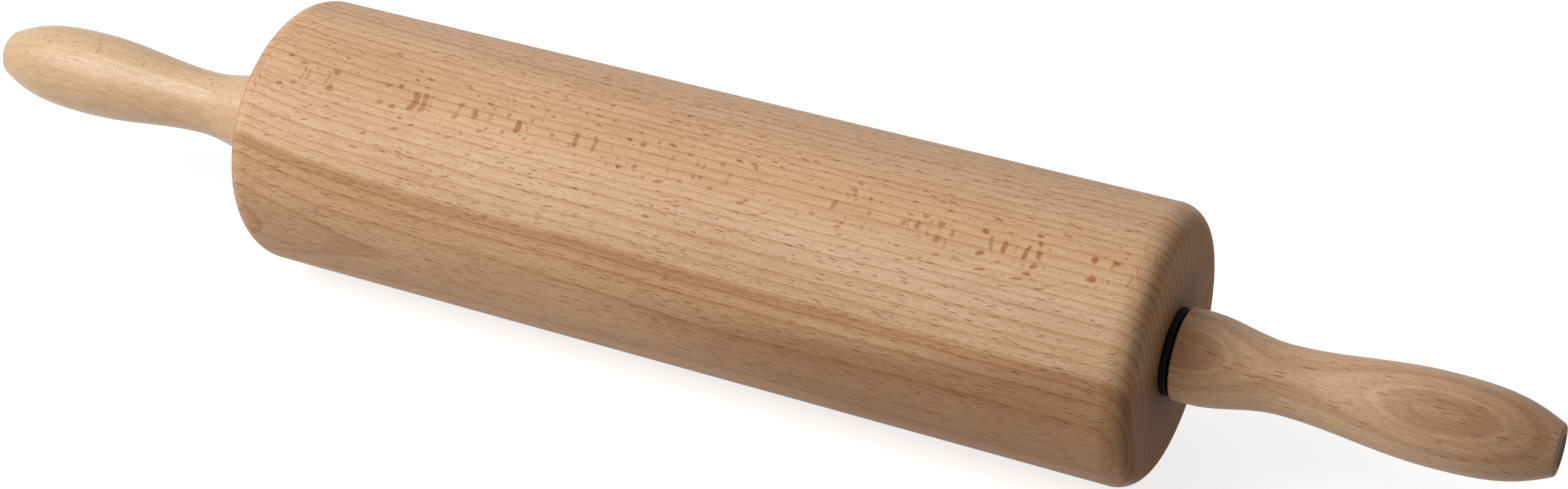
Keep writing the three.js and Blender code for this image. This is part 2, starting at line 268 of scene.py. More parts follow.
cup_outline = outline_of(cup_outside, flange_back, flange_front, pocket_edge, pocket)
cups = pair("bearing_cup_{}_nylon", revolve(cup_outline, CUP_COLUMNS), ROLLER_HALF)

# %% Plug surfaces
PLUG_EDGE = 218.5
PLUG_LENGTH = 6
PLUG_RADIUS = 4.1
PLUG_HOLLOW = 3.2
PLUG_CAP = 1.2  # thickness of the closed end
PLUG_LEAD = 0.4
PLUG_EDGE_CUT = 0.25
PLUG_RIM = [-0.05, 4.02]
PLUG_DOME = 0.35
PLUG_COLUMNS = 64
dome_turn = straight(np.pi / 2, 0, count=14)
dome_radius = PLUG_RADIUS - PLUG_EDGE_CUT
plug_dome = np.stack([PLUG_DOME * np.cos(dome_turn), dome_radius * np.sin(dome_turn)], axis=-1)
plug_outline = outline_of(
    [[-PLUG_CAP, 0], [-PLUG_CAP, PLUG_HOLLOW], [-PLUG_LENGTH, PLUG_HOLLOW],
     [-PLUG_LENGTH, PLUG_RADIUS - PLUG_EDGE_CUT], [-PLUG_LENGTH + PLUG_LEAD, PLUG_RADIUS],
     [-PLUG_EDGE_CUT, PLUG_RADIUS], PLUG_RIM], plug_dome)
plugs = pair("end_plug_{}_nylon", revolve(plug_outline, PLUG_COLUMNS), PLUG_EDGE)

# %% [markdown]
# ## The axle
# One steel bar runs through the whole pin. It is thicker between the bearings, so that the inner races stop
# against its shoulders, and each end has a tapped hole for the handle's screw. The thread could be a texture,
# but then the mesh would not have it. Here the bore's radius grows with a triangle wave of place and angle,
# which winds a real groove round it.

# %% Axle surface
AXLE_END = 182.55
AXLE_RADIUS = 3.95
AXLE_BODY = 4.95
AXLE_CHAMFER = 0.6
SHOULDER = 118.95
SHOULDER_CHAMFER = 0.25
UNDERCUT = 0.12  # lets the race's corner sit flat on the shoulder
HOLE_RADIUS = 2.05
HOLE_FLOOR = 168.5
HOLE_MOUTH = 2.45
HOLE_LEAD = 0.4
DRILL_POINT = 1.2
TAPPED_DEPTH = 0.14
THREAD_PITCH = 0.7
THREAD_STEP = THREAD_PITCH / 8  # from row to row
AXLE_COLUMNS = 64


def thread_wave(along, angle):
    """A triangle wave, 0 on the crest and 1 in the root, that moves on by one pitch in each turn."""
    turns = along / THREAD_PITCH - angle / (2 * np.pi)
    return 2 * np.abs(turns % 1 - 0.5)


def tapped(along, radius, angle):
    """The bore's radius grows by the thread's depth times the triangle wave, on the hole's wall."""
    grown = radius + TAPPED_DEPTH * thread_wave(along, angle)
    return np.where(np.isclose(radius, HOLE_RADIUS), grown, radius)


hole_end = AXLE_END - HOLE_LEAD
hole_rows = int((hole_end - HOLE_FLOOR) / THREAD_STEP)
chamfer_start = AXLE_END - AXLE_CHAMFER
axle_half = outline_of(
    [[HOLE_FLOOR - DRILL_POINT, 0]],
    straight((HOLE_FLOOR, HOLE_RADIUS), (hole_end, HOLE_RADIUS), hole_rows),
    [[AXLE_END, HOLE_MOUTH], [AXLE_END, AXLE_RADIUS - AXLE_CHAMFER], [chamfer_start, AXLE_RADIUS]],
    straight((chamfer_start, AXLE_RADIUS), (SHOULDER + SHOULDER_CHAMFER, AXLE_RADIUS), count=8)[1:],
    [[SHOULDER, AXLE_RADIUS - UNDERCUT], [SHOULDER, AXLE_BODY - SHOULDER_CHAMFER],
     [SHOULDER - SHOULDER_CHAMFER, AXLE_BODY]],
    straight((SHOULDER - SHOULDER_CHAMFER, AXLE_BODY), (0, AXLE_BODY), count=8)[1:])
axle = mesh_from_grid("axle_steel", place(revolve(both_ends(axle_half), AXLE_COLUMNS, tapped)))

# %% [markdown]
# ## The bearings
# Each bearing has two hardened races with a ball groove, eight balls and a brass cage. A race could be a
# plain ring, but its groove is what holds the balls, so its section has small chamfers and an arc a little
# wider than the balls. A ball is a grid of rings from pole to pole. The cage, with its round pockets, is kept
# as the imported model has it.

# %% Sections of the races and rings
BEARING_MIDDLE = 121.5
BEARING_HALF = 2.5
PITCH_RADIUS = 6.0
GROOVE_RADIUS = 1.35
RACE_CHAMFER = 0.2


def race_outline(seat, shoulder):
    """A ring's section: the seat on one side and, on the side of the balls, a shoulder cut by the groove's
    arc about the pitch circle. Corners lose the chamfer."""
    way = np.sign(PITCH_RADIUS - shoulder)
    lean = np.degrees(np.arcsin(abs(PITCH_RADIUS - shoulder) / GROOVE_RADIUS))
    groove = arc(0, PITCH_RADIUS, GROOVE_RADIUS, -way * lean, -way * (180 - lean), count=19)
    cut = way * RACE_CHAMFER
    flat = BEARING_HALF - RACE_CHAMFER
    return outline_of(
        [[-BEARING_HALF, seat + cut], [-flat, seat], [flat, seat], [BEARING_HALF, seat + cut],
         [BEARING_HALF, shoulder - cut], [flat, shoulder]],
        groove, [[-flat, shoulder], [-BEARING_HALF, shoulder - cut]])


def ring_outline(start, end, inner, outer, chamfer):
    """A plain ring's section with all four corners cut at 45 degrees."""
    return outline_of(
        [[start, inner + chamfer], [start + chamfer, inner], [end - chamfer, inner], [end, inner + chamfer],
         [end, outer - chamfer], [end - chamfer, outer], [start + chamfer, outer], [start, outer - chamfer]])


INNER_SEAT, INNER_SHOULDER = 4.0, 5.2
OUTER_SEAT, OUTER_SHOULDER = 8.0, 6.8
inner_grid = revolve(race_outline(INNER_SEAT, INNER_SHOULDER), columns=96)
outer_grid = revolve(race_outline(OUTER_SEAT, OUTER_SHOULDER), columns=128)
sleeve_grid = revolve(ring_outline(start=124.05, end=127.35, inner=4.0, outer=5.0, chamfer=0.15), columns=96)
print("race sections of", len(inner_grid), "and", len(outer_grid), "points")

# %% Race, sleeve and ball surfaces
BALL_RADIUS = 1.25
BALL_RINGS = 20
BALL_COLUMNS = 32
BALLS = 8


def ball_grid(centre):
    """A sphere: ring i lies at the polar angle pi i / BALL_RINGS from the x axis, and its radius is
    the ball's times the sine of that angle."""
    polar = straight(0, np.pi, BALL_RINGS + 1)
    outline = np.stack([BALL_RADIUS * np.cos(polar), BALL_RADIUS * np.abs(np.sin(polar))], axis=-1)
    outline[[0, -1], 1] = 0
    return revolve(outline, BALL_COLUMNS) * MM + centre


inner_races, outer_races, sleeves, balls = {}, {}, {}, {}
for side, sign in SIDES.items():
    inner_races[side] = mesh_from_grid(f"inner_race_{side}_steel", place(inner_grid, sign, BEARING_MIDDLE))
    outer_races[side] = mesh_from_grid(f"outer_race_{side}_steel", place(outer_grid, sign, BEARING_MIDDLE))
    sleeves[side] = mesh_from_grid(f"spacer_sleeve_{side}_steel", place(sleeve_grid, sign))
    for number in range(1, BALLS + 1):
        centre = np.mean(np.array(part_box(f"ball_{side}_{number}")), axis=0)
        balls[side, number] = mesh_from_grid(f"ball_{side}_{number}_steel", ball_grid(centre))

# %% [markdown]
# ## Screws and washers
# A socket screw and a washer clamp each handle onto the axle's end. The socket could be cut out with a
# Boolean modifier, but here the screw's outline runs from its tip up the shank and round the head into the
# socket, and one function gives the three shapes that aren't round: the thread, the head's fine knurl and the
# socket's six flats.

# %% Screw and washer surfaces
SCREW_SEAT = 191.5  # underside of the head
SHANK_LENGTH = 20.0
SHANK_RADIUS = 2.0
SHANK_TIP = 1.4
TIP_LEAD = 0.6
PLAIN_SHANK = 1.5  # no thread this close to the head
THREAD_DEPTH = 0.34
HEAD_RADIUS = 3.5
HEAD_HEIGHT = 4.0
HEAD_CHAMFER = 0.3
HEAD_ROUND = 0.5
KNURLS = 36
KNURL_DEPTH = 0.05
KNURL_END = 0.7  # the smooth rim above the knurl
SOCKET_HALF = 1.5  # half the width across the socket's flats
SOCKET_MOUTH = 1.95
SOCKET_LEAD = 0.2
SOCKET_DEPTH = 2.0
SOCKET_POINT = 0.3
SCREW_COLUMNS = 144
WASHER_COLUMNS = 72


def screw_radius(along, radius, angle):
    """Thread: the shank less its depth times the triangle wave. Knurl: the head less a shallow cosine.
    Socket: half the width across the flats, divided by the cosine of the angle from the nearest flat's
    middle."""
    from_flat = (angle + np.pi / 6) % (np.pi / 3) - np.pi / 6
    threaded = np.isclose(radius, SHANK_RADIUS) & (along < -PLAIN_SHANK)
    radius = np.where(threaded, radius - THREAD_DEPTH * thread_wave(along, angle), radius)
    knurl = KNURL_DEPTH * (1 - np.cos(KNURLS * angle))
    radius = np.where(np.isclose(radius, HEAD_RADIUS), radius - knurl, radius)
    return np.where(np.isclose(radius, SOCKET_HALF), radius / np.cos(from_flat), radius)


thread_rows = int((SHANK_LENGTH - TIP_LEAD) / THREAD_STEP)
shank = straight((-SHANK_LENGTH + TIP_LEAD, SHANK_RADIUS), (0, SHANK_RADIUS), thread_rows)
head_side = [[0, HEAD_RADIUS - HEAD_CHAMFER], [HEAD_CHAMFER, HEAD_RADIUS],
             [HEAD_HEIGHT - KNURL_END, HEAD_RADIUS]]
head_rim = HEAD_RADIUS - 2 * KNURL_DEPTH  # where the knurl is deepest
head_round = arc(HEAD_HEIGHT - HEAD_ROUND, head_rim - HEAD_ROUND, HEAD_ROUND, 90, 0, count=6)
socket_floor = HEAD_HEIGHT - SOCKET_DEPTH
socket = [[HEAD_HEIGHT, SOCKET_MOUTH], [HEAD_HEIGHT - SOCKET_LEAD, SOCKET_HALF], [socket_floor, SOCKET_HALF],
          [socket_floor - SOCKET_POINT, 0]]
screw_tip = [[-SHANK_LENGTH, 0], [-SHANK_LENGTH, SHANK_TIP]]
screw_outline = outline_of(screw_tip, shank, head_side, head_round, socket)
washer_outline = ring_outline(start=190.65, end=191.45, inner=2.3, outer=3.8, chamfer=0.1)
screws = pair("handle_screw_{}_zinc", revolve(screw_outline, SCREW_COLUMNS, screw_radius), SCREW_SEAT)
washers = pair("screw_washer_{}_zinc", revolve(washer_outline, WASHER_COLUMNS))

# %% [markdown]
# ## Finishes as node graphs
# The looks come from shader nodes. They could be placed by hand in the editor, but a script repeats them
# exactly. Small helpers keep the graphs short: one makes a node and fills or links its inputs, some wrap the
# nodes that are used most, and one makes a node group with named sockets, so that an effect that several
# finishes share is built once.

# %% Helpers for single nodes
def fill(tree, made, inputs):
    """Each input gets a plain value, or a link from another node's output."""
    for key, value in inputs.items():
        if isinstance(value, bpy.types.NodeSocket):
            tree.links.new(value, made.inputs[key])
        else:
            made.inputs[key].default_value = value


def node(tree, kind, inputs=None, **settings):
    """A new shader node of this kind, with its settings and its inputs."""
    made = tree.nodes.new(f"ShaderNode{kind}")
    for key, value in settings.items():
        setattr(made, key, value)
    fill(tree, made, inputs or {})
    return made


def calc(tree, operation, *values):
    """One sum on numbers."""
    return node(tree, "Math", dict(enumerate(values)), operation=operation).outputs[0]


def vector_calc(tree, operation, *vectors):
    """One sum on vectors, which gives a vector, or a number for a length or a dot product."""
    made = node(tree, "VectorMath", dict(enumerate(vectors)), operation=operation)
    return made.outputs["Value" if operation in ("LENGTH", "DOT_PRODUCT") else "Vector"]


def product(tree, first, *others):
    """All of them multiplied together."""
    for other in others:
        first = calc(tree, "MULTIPLY", first, other)
    return first


def root_of_squares(tree, first, second):
    """The length of the long side over two short sides at a right angle."""
    squares = calc(tree, "ADD", product(tree, first, first), product(tree, second, second))
    return calc(tree, "SQRT", squares)


def ramp(tree, value, low, high, out_low=0.0, out_high=1.0):
    """A smooth step: out_low below low, out_high above high, and an S-shaped rise between them."""
    inputs = {"Value": value, "From Min": low, "From Max": high, "To Min": out_low, "To Max": out_high}
    return node(tree, "MapRange", inputs, interpolation_type="SMOOTHSTEP").outputs["Result"]


print("helpers for single nodes ready")


# %% Helpers for patterns and colours
def scaled(tree, vector, x, y, z):
    """The place divided by a feature's size, in millimetres, along each axis."""
    sizes = (1000 / x, 1000 / y, 1000 / z)
    return vector_calc(tree, "MULTIPLY", vector, sizes)


def noise(tree, vector, sizes, detail):
    """Cloudy noise, 0 to 1, whose features have these sizes, in millimetres, along each axis."""
    spot = scaled(tree, vector, *sizes)
    return node(tree, "TexNoise", {"Vector": spot, "Scale": 1.0, "Detail": detail}).outputs["Fac"]


def line_noise(tree, value, scale):
    """Smooth noise, 0 to 1, along one number."""
    inputs = {"W": value, "Scale": scale, "Detail": 1.0}
    return node(tree, "TexNoise", inputs, noise_dimensions="1D").outputs["Fac"]


def mix(tree, factor, first, second, blend="MIX"):
    """The first colour where the factor is 0, blended with the second where it is 1."""
    made = node(tree, "Mix", data_type="RGBA", blend_type=blend)
    sockets = {socket.identifier: socket for socket in made.inputs}
    for name, value in (("Factor_Float", factor), ("A_Color", first), ("B_Color", second)):
        if isinstance(value, bpy.types.NodeSocket):
            tree.links.new(value, sockets[name])
        else:
            sockets[name].default_value = value
    return next(socket for socket in made.outputs if socket.identifier == "Result_Color")


def tint(tree, factor, colour, shade):
    """The colour multiplied by a shade, as far as the factor says."""
    return mix(tree, factor, colour, (*shade, 1.0), "MULTIPLY")


def srgb(red, green, blue):
    """A colour as it looks on a screen, 0 to 255, as the linear light that shaders use."""
    c = np.array([red, green, blue]) / 255
    linear = np.where(c <= 0.04045, c / 12.92, ((c + 0.055) / 1.055) ** 2.4)
    return (*[float(v) for v in linear], 1.0)


print("middle grey is", round(srgb(128, 128, 128)[0], 3), "in linear light")


# %% Helpers for groups and materials
def group(name, inputs, outputs):
    """An empty node group with named inputs, and outputs that are numbers."""
    tree = bpy.data.node_groups.new(name, "ShaderNodeTree")
    for title, kind in inputs:
        tree.interface.new_socket(title, in_out="INPUT", socket_type=f"NodeSocket{kind}")
    for title in outputs:
        tree.interface.new_socket(title, in_out="OUTPUT", socket_type="NodeSocketFloat")
    start = tree.nodes.new("NodeGroupInput")
    end = tree.nodes.new("NodeGroupOutput")
    return tree, start.outputs, end.inputs


def use(tree, group_tree, inputs):
    """A group placed in a material with its own values."""
    made = tree.nodes.new("ShaderNodeGroup")
    made.node_tree = group_tree
    fill(tree, made, inputs)
    return made.outputs


def new_material(name):
    """An empty material, its node tree, and the place on the axle's line that its patterns start from."""
    material = bpy.data.materials.new(name)
    material.use_nodes = True
    tree = material.node_tree
    tree.nodes.clear()
    middle = {"Vector": node(tree, "TexCoord").outputs["Object"], "Location": (0, 0, -AXLE_HEIGHT)}
    return material, tree, node(tree, "Mapping", middle).outputs[0]


def stands_for(piece, node_name, body, material):
    """The piece hides its CAD node, moves with the node's body and takes the finish."""
    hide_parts(node_name)
    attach(piece, body)
    piece.data.materials.append(material)


print("helpers for groups and materials ready")

# %% [markdown]
# ## Beech, as a solid figure
# Beech shows growth rings, and rays: thin brown sheets that run out from the tree's heart. A sheet that the
# surface grazes shows as a broad upright fleck, and one cut across as a short dash along the grain. Such
# marks could be painted on, but here the figure is worked out in the wood's own directions, x along the
# grain, y out from the heart and z across, and the shape cuts through it. So the flecks, dashes and arched
# rings fall where they do on the real pin. Sizes are in millimetres along the grain, outwards and across.

# %% Beech figure group: the rings
SWAY_SIZES = (140, 40, 40)
RIPPLE_SIZES = (22, 14, 14)
RIPPLE_HEIGHT = 0.6
WANDER_LENGTH = 8  # ring widths change over this length outwards
LATEWOOD_FROM_TO = (0.4, 0.95)  # shares of a ring's width
LINE_FROM_TO = (0.74, 0.93)
RING_END = (0.95, 1.0)
FAINTEST_LINE = 0.45
figure, given, result = group(
    "beech_figure",
    [("Wood Place", "Vector"), ("Heart Distance", "Float"), ("Ring Spacing", "Float"), ("Sway", "Float"),
     ("Ray Share", "Float"), ("Ray Size", "Float")],
    ["Depth", "Rings", "Latewood", "Rays", "Fine Rays", "Fibre", "Pores", "Cloud"])
spot = given["Wood Place"]
parts = node(figure, "SeparateXYZ", {0: spot}).outputs
outward = calc(figure, "ADD", parts["Y"], given["Heart Distance"])
distance = root_of_squares(figure, outward, parts["Z"])
sway = calc(figure, "SUBTRACT", noise(figure, spot, SWAY_SIZES, detail=2.0), 0.5)
ripple = calc(figure, "SUBTRACT", noise(figure, spot, RIPPLE_SIZES, detail=1.0), 0.5)
depth = calc(figure, "MULTIPLY_ADD", sway, given["Sway"], distance)
depth = calc(figure, "MULTIPLY_ADD", ripple, RIPPLE_HEIGHT * MM, depth)
wander = line_noise(figure, calc(figure, "DIVIDE", depth, WANDER_LENGTH * MM), scale=1.0)
rings = calc(figure, "ADD", calc(figure, "DIVIDE", depth, given["Ring Spacing"]), wander)
within = calc(figure, "FRACT", rings)
year = node(figure, "TexWhiteNoise", {"W": calc(figure, "FLOOR", rings)}, noise_dimensions="1D")
strength = calc(figure, "MULTIPLY_ADD", year.outputs["Value"], 1 - FAINTEST_LINE, FAINTEST_LINE)
ring_end = ramp(figure, within, *RING_END, 1.0, 0.0)
figure.links.new(depth, result["Depth"])
figure.links.new(product(figure, ramp(figure, within, *LINE_FROM_TO), ring_end, strength), result["Rings"])
figure.links.new(product(figure, ramp(figure, within, *LATEWOOD_FROM_TO), ring_end), result["Latewood"])
print("rings:", len(figure.nodes), "nodes")

# %% Beech figure group: the rays
RAY_HIGH, RAY_THICK = 4.4, 0.3
FINE_HIGH, FINE_THICK, FINE_SHARE = 2.3, 0.17, 0.36
SLIDE = 5.0  # rows of cells slide along the grain by this many cells, so that they don't line up
SLIDE_SCALE = 0.12
SCATTER = 0.85
SMALLEST_RAY, MORE_RAY = 0.17, 0.15  # half sizes, as shares of a cell
SOFT_EDGE = (0.45, 1.05)
FAINTEST_RAY = 0.6
BEND_SIZES = (7, 5, 5)
BEND = (3.0, 0.0, 0.15)
PATCH_SIZES = (26, 9, 9)
PATCH_WINDOW = (0.3, 0.7)
PATCH_GAIN = (0.6, 1.4)  # fewer rays in some patches, more in others


def ray_mask(tree, spot, high, thick, share, size):
    """Rays seen end on are slim spindles, high along the grain and thin across it. Outwards they run on, so a
    net of cells in x and z gives them: a share of the cells hold one, each with its own size and strength."""
    stretched = node(tree, "SeparateXYZ", {0: scaled(tree, spot, high, 1.0, thick)}).outputs
    slide = line_noise(tree, stretched["Z"], SLIDE_SCALE)
    along = calc(tree, "MULTIPLY_ADD", slide, SLIDE, stretched["X"])
    flat = node(tree, "CombineXYZ", {"X": along, "Y": stretched["Z"]}).outputs[0]
    net = {"Vector": flat, "Scale": 1.0, "Randomness": SCATTER}
    cells = node(tree, "TexVoronoi", net, voronoi_dimensions="2D").outputs
    chance = node(tree, "SeparateColor", {0: cells["Color"]}).outputs
    reach = product(tree, calc(tree, "MULTIPLY_ADD", chance["Green"], MORE_RAY, SMALLEST_RAY), size)
    inside = ramp(tree, calc(tree, "DIVIDE", cells["Distance"], reach), *SOFT_EDGE, 1.0, 0.0)
    strength = calc(tree, "MULTIPLY_ADD", chance["Blue"], 1 - FAINTEST_RAY, FAINTEST_RAY)
    return product(tree, inside, calc(tree, "LESS_THAN", chance["Red"], share), strength)


ray_angle = calc(figure, "ARCTAN2", parts["Z"], outward)
round_heart = product(figure, ray_angle, given["Heart Distance"])
ray_place = node(figure, "CombineXYZ", {"X": parts["X"], "Y": distance, "Z": round_heart}).outputs[0]
bend_noise = {"Vector": scaled(figure, spot, *BEND_SIZES), "Scale": 1.0, "Detail": 2.0}
bend = node(figure, "TexNoise", bend_noise).outputs["Color"]
ray_spot = vector_calc(figure, "MULTIPLY_ADD", bend, tuple(b * MM for b in BEND), ray_place)
patches = ramp(figure, noise(figure, spot, PATCH_SIZES, detail=1.0), *PATCH_WINDOW, *PATCH_GAIN)
main_share = product(figure, patches, given["Ray Share"])
main_rays = ray_mask(figure, ray_spot, RAY_HIGH, RAY_THICK, main_share, given["Ray Size"])
fine_rays = ray_mask(figure, ray_spot, FINE_HIGH, FINE_THICK, FINE_SHARE, given["Ray Size"])
figure.links.new(main_rays, result["Rays"])
figure.links.new(fine_rays, result["Fine Rays"])
print("rings and rays:", len(figure.nodes), "nodes")

# %% Beech figure group: fibres, pores and clouds
FIBRE_SIZES = (7, 0.35, 0.35)
PORE_SIZES = (0.6, 0.12, 0.12)
CLOUD_SIZES = (60, 9, 9)
figure.links.new(noise(figure, spot, FIBRE_SIZES, detail=4.0), result["Fibre"])
figure.links.new(noise(figure, spot, PORE_SIZES, detail=2.0), result["Pores"])
figure.links.new(noise(figure, spot, CLOUD_SIZES, detail=2.0), result["Cloud"])
print("whole beech figure:", len(figure.nodes), "nodes")

# %% [markdown]
# ## Marks of the lathe
# The wood and the metal were turned, so fine lines run round the axle: faint scratches where the roller's
# ends were rounded, and feed lines on the metal. A Wave texture would repeat too evenly, so in one group
# noise that is very thin along the axle and long round it gives both.

# %% Turning marks group
FEED_LEAN = 0.37  # lets the lines also run across a flat end
turning, given, result = group(
    "turning_marks", [("Place", "Vector"), ("Line Width", "Float"), ("Line Length", "Float")], ["Lines"])
about = node(turning, "SeparateXYZ", {0: given["Place"]}).outputs
turned_by = calc(turning, "ARCTAN2", about["Z"], about["Y"])
out_by = root_of_squares(turning, about["Y"], about["Z"])
leaning = calc(turning, "ADD", about["X"], calc(turning, "MULTIPLY", out_by, FEED_LEAN))
feed = calc(turning, "DIVIDE", leaning, given["Line Width"])
round_by = calc(turning, "DIVIDE", product(turning, turned_by, out_by), given["Line Length"])
band = node(turning, "CombineXYZ", {"X": feed, "Y": round_by}).outputs[0]
marks = node(turning, "TexNoise", {"Vector": band, "Scale": 1.0, "Detail": 2.0}, noise_dimensions="2D")
turning.links.new(marks.outputs["Fac"], result["Lines"])
print("turning marks:", len(turning.nodes), "nodes")

# %% [markdown]
# ## Sanded beech
# The same figure serves the roller and both handles, each with its own place in the tree and its own tones
# from the heart outwards. One flat colour with noise would look like plastic, so the tone is built up as the
# wood is: heartwood and sapwood, a brown stain, fibres, rings, pores and rays. End grain drinks in more oil,
# so it comes out darker and greyer; this tint starts early on the rounded ends, where it is also painted
# shade. Painted shade comes last: round the hubs, where the handles shade the roller's end faces, and
# towards the right handle's end, which turns away from the lamp. Rays and pores lie a hair below the
# surface, and a thin oil film gives a low sheen.

# %% Where a piece lies in the tree
BOW_REACH = 30.0  # the rings bend over this length, next to the roller's left end


def place_in_wood(tree, wood, on_axle, along):
    """The piece turned so that y points out of the heart, and moved along the grain. Towards the left end the
    rings bow: y falls by the bow times e to the power of minus the distance from that end over BOW_REACH."""
    from_left_end = calc(tree, "ADD", along, ROLLER_HALF * MM)
    fading = calc(tree, "EXPONENT", calc(tree, "DIVIDE", from_left_end, -BOW_REACH * MM))
    bow = node(tree, "CombineXYZ", {"Y": product(tree, fading, -wood["bow"] * MM)}).outputs[0]
    cut = {"Vector": on_axle, "Location": (wood["shift"] * MM, 0, 0),
           "Rotation": (-np.radians(wood["out_turn"]), 0, 0)}
    return vector_calc(tree, "ADD", node(tree, "Mapping", cut).outputs[0], bow)


def grazing(tree, wood, in_wood, normal):
    """1 where the surface lies along the rays, 0 where it cuts them straight across: the sine of the angle
    between the surface's normal and the way out from the heart."""
    from_heart = vector_calc(tree, "ADD", in_wood, (0, wood["heart_out"] * MM, 0))
    ray_way = vector_calc(tree, "NORMALIZE", vector_calc(tree, "MULTIPLY", from_heart, (0, 1, 1)))
    turned = {"Vector": normal, "Rotation": (-np.radians(wood["out_turn"]), 0, 0)}
    in_rays = node(tree, "Mapping", turned, vector_type="NORMAL").outputs[0]
    lean = vector_calc(tree, "DOT_PRODUCT", in_rays, ray_way)
    return calc(tree, "SQRT", calc(tree, "SUBTRACT", 1.0, product(tree, lean, lean)))


print("the rings bow over", BOW_REACH, "mm")

# %% Tones from the heart outwards, and the stain
STAIN_SLOPE = (0.09, -0.342, -0.94)  # the way it deepens: down, and a little to the front and right
STAIN_DEPTHS = (9, 18)
STAIN_ALONG = (-25, 60)
STAIN_TEAR = 10  # how far its edge is torn into streaks
STAIN_SHADE = (0.72, 0.66, 0.61)


def tone_from_heart(tree, depth, stops):
    """Colour against the distance from the heart: stops are (millimetres, colour) from the heart outwards."""
    far = np.array([distance for distance, colour in stops])
    shares = (far - far[0]) / (far[-1] - far[0])
    limits = {"Value": depth, "From Min": float(far[0]) * MM, "From Max": float(far[-1]) * MM}
    tones = node(tree, "ValToRGB", {"Fac": node(tree, "MapRange", limits).outputs["Result"]})
    elements = tones.color_ramp.elements
    for share in shares[1:-1]:
        elements.new(float(share))
    for element, stop in zip(elements, stops):
        element.color = stop[1]
    return tones.outputs["Color"]


def heart_stain(tree, on_axle, along, streaks):
    """A brown stain in the heartwood, 0 to 1: it deepens below a sloping plane, with an edge torn into
    streaks along the grain, and it fades out towards the left end."""
    below = vector_calc(tree, "DOT_PRODUCT", on_axle, STAIN_SLOPE)
    below = calc(tree, "MULTIPLY_ADD", calc(tree, "SUBTRACT", streaks, 0.5), STAIN_TEAR * MM, below)
    deep = ramp(tree, below, *[d * MM for d in STAIN_DEPTHS])
    return product(tree, deep, ramp(tree, along, *[x * MM for x in STAIN_ALONG]))


print("the stain deepens over", STAIN_DEPTHS[1] - STAIN_DEPTHS[0], "mm")

# %% Colours of the sanded wood
FIBRE_SHADE = (0.84, 0.77, 0.70)
LATE_SHADE = (0.86, 0.80, 0.72)
RING_SHADE = (0.69, 0.55, 0.41)
PORE_SHADE = (0.74, 0.66, 0.58)
END_SHADE = srgb(190, 182, 175)[:3]
CLOUD_WINDOW, CLOUD_SHARE = (0.35, 0.7), 0.55
FIBRE_WINDOW, FIBRE_SHARE = (0.38, 0.72), 0.85
PORE_SHARE = 0.75
END_LATE, END_RINGS = 0.6, 0.3  # rings show more in end grain
FLECK_TONE = (0.9, 0.998)  # grazing values between which dashes take the tone of flecks


def sanded_colour(tree, wood, look, graze, end_grain_and_edge_shade, stain):
    """The heart's tones, darkened in turn by stain, clouds, fibres, latewood, ring lines, pores and rays."""
    side_grain = calc(tree, "SUBTRACT", 1.0, end_grain_and_edge_shade)
    colour = tone_from_heart(tree, look["Depth"], wood["tones"])
    if stain is not None:
        colour = tint(tree, stain, colour, STAIN_SHADE)
    colour = tint(tree, ramp(tree, look["Cloud"], *CLOUD_WINDOW, 0.0, CLOUD_SHARE), colour, FIBRE_SHADE)
    colour = tint(tree, ramp(tree, look["Fibre"], *FIBRE_WINDOW, 0.0, FIBRE_SHARE), colour, FIBRE_SHADE)
    late = calc(tree, "MULTIPLY_ADD", end_grain_and_edge_shade, END_LATE, wood["late"])
    colour = tint(tree, product(tree, look["Latewood"], late), colour, LATE_SHADE)
    ring_share = calc(tree, "MULTIPLY_ADD", end_grain_and_edge_shade, END_RINGS, wood["rings"])
    colour = tint(tree, product(tree, look["Rings"], ring_share), colour, RING_SHADE)
    colour = tint(tree, product(tree, look["Pores"], PORE_SHARE), colour, PORE_SHADE)
    fine = product(tree, look["Fine Rays"], side_grain, wood["fine_rays"])
    colour = tint(tree, fine, colour, wood["dash_shade"])
    near_band = ramp(tree, graze, *FLECK_TONE)
    ray_shade = mix(tree, near_band, (*wood["dash_shade"], 1.0), (*wood["fleck_shade"], 1.0))
    colour = mix(tree, product(tree, look["Rays"], wood["rays"]), colour, ray_shade, "MULTIPLY")
    # End grain is darker and greyer; on the rounded ends this tint is partly painted shade.
    return tint(tree, end_grain_and_edge_shade, colour, END_SHADE)


print("end grain is tinted by", [round(c, 2) for c in END_SHADE])

# %% Painted shade, and marks of use
HUB_PAINTED_SHADE = (0.45, 0.41, 0.38)
HUB_SHADE_REACH = (11, 24)  # from the axle
TIP_PAINTED_SHADE = (0.62, 0.56, 0.50)
TIP_SHADE_FROM_TO = (178, 217)  # where painted shade darkens the right handle towards its end, from the middle of the pin
MARK_SHADE = (0.55, 0.46, 0.38)
MARK_SHARE = 0.35
MARKS_GROW = 3  # scratches reach their full strength over this length
SCRATCH_WIDTH, SCRATCH_LENGTH = 0.12, 5
SCRATCH_WINDOW = (0.6, 0.72)


def painted_shade_colour(tree, wood, colour, on_axle, reach, end_grain_and_edge_shade):
    """Painted shade: darker towards the handle's end, which turns away from the lamp, and darker round the
    hub, where the handle shades the end face, fading out along a radius.
    """
    # Painted shade towards the handle's end, which turns away from the lamp.
    painted_tip_shade = ramp(tree, reach, *[x * MM for x in TIP_SHADE_FROM_TO], 0.0, wood["tip_shade"])
    colour = tint(tree, painted_tip_shade, colour, TIP_PAINTED_SHADE)
    # Painted shade on the end faces round the hub, where the handle shades them.
    from_axle = vector_calc(tree, "LENGTH", vector_calc(tree, "MULTIPLY", on_axle, (0, 1, 1)))
    fading = ramp(tree, from_axle, *[r * MM for r in HUB_SHADE_REACH], wood["hub_shade"], 0.0)
    return tint(tree, product(tree, end_grain_and_edge_shade, fading), colour, HUB_PAINTED_SHADE)


